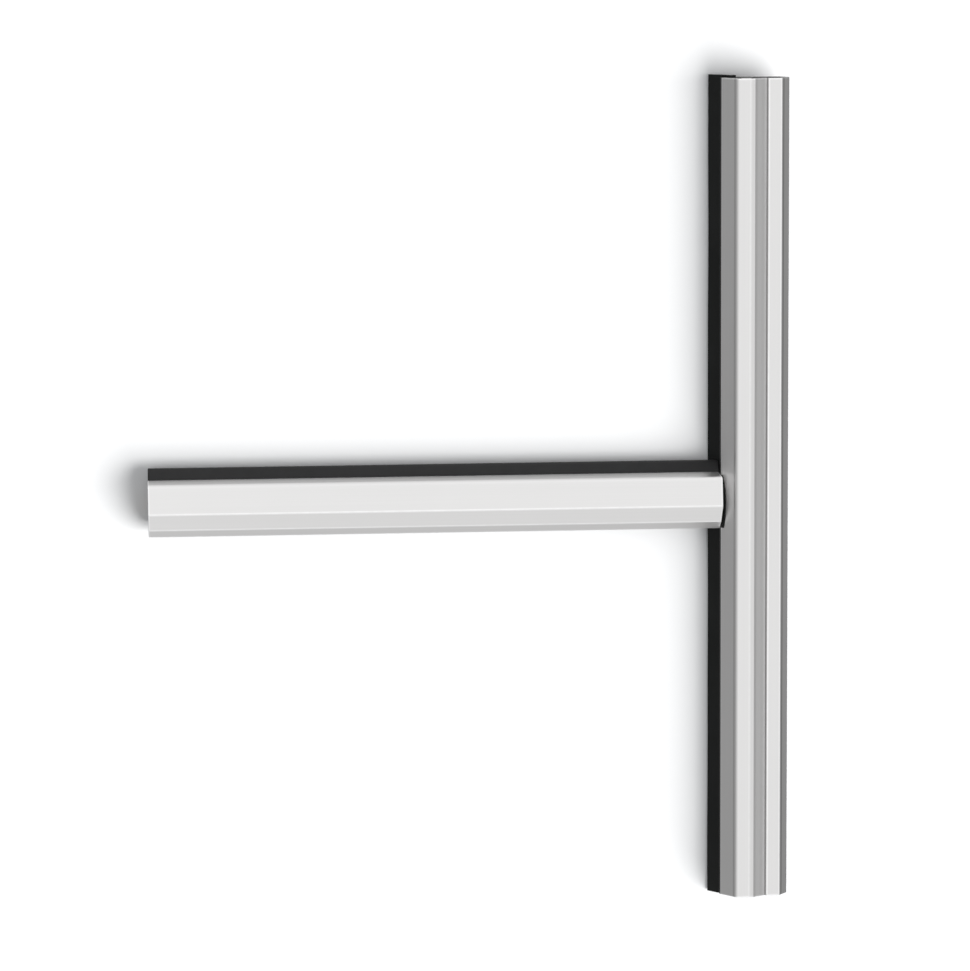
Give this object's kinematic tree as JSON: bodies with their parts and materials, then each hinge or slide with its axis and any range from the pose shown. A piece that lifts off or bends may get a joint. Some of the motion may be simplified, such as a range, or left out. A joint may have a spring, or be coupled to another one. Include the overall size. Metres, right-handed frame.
{
  "type": "window squeegee",
  "caption": "T-shaped window squeegee with faceted aluminium head and handle covers, a replaceable rubber blade and a tilting handle.",
  "frame": {"origin": "centre of the bounding box in X and Y, on the surface that the squeegee lies on with its glass side down", "axes": "+X along the handle from its free end to the head, +Y along the head, +Z away from the glass"},
  "size_m": [0.232, 0.3016, 0.0162],
  "materials": {
    "anodised_aluminium": "satin, clear anodised, fine extrusion lines",
    "black_nylon": "matt moulded",
    "blade_rubber": "smooth satin",
    "grip_rubber": "fine matt",
    "stainless_steel": "turned",
    "bronze": "sintered, oiled",
    "white_nylon": "natural, matt"
  },
  "bodies": {
    "root": {"head_carrier": "black_nylon", "head_cover": "anodised_aluminium", "head_cover_screws": "stainless_steel", "head_end_plug_upper": "black_nylon", "head_end_plug_lower": "black_nylon", "tilt_stop_pad": "grip_rubber", "hinge_bush": "bronze", "blade_pinch_screws": "stainless_steel"},
    "blade": {"rubber_blade": "blade_rubber"},
    "handle": {"handle_cover": "anodised_aluminium", "handle_core": "black_nylon", "handle_core_screws": "stainless_steel", "grip_pad": "grip_rubber", "grip_strip": "grip_rubber", "end_socket": "black_nylon", "socket_liner": "bronze", "end_socket_screw": "stainless_steel", "hinge_pin": "stainless_steel", "hinge_washer_upper": "white_nylon", "hinge_washer_lower": "white_nylon"}
  },
  "joints": [
    {"name": "handle_tilt", "type": "hinge", "parent": "root", "child": "handle", "pos_m": [0.08805, -0.0003, 0.011], "axis": [0, 1, 0], "range_deg": [0, 28]},
    {"name": "blade_slide", "type": "slide", "parent": "root", "child": "blade", "axis": [0, -1, 0], "range_m": [0, 0.15]}
  ]
}
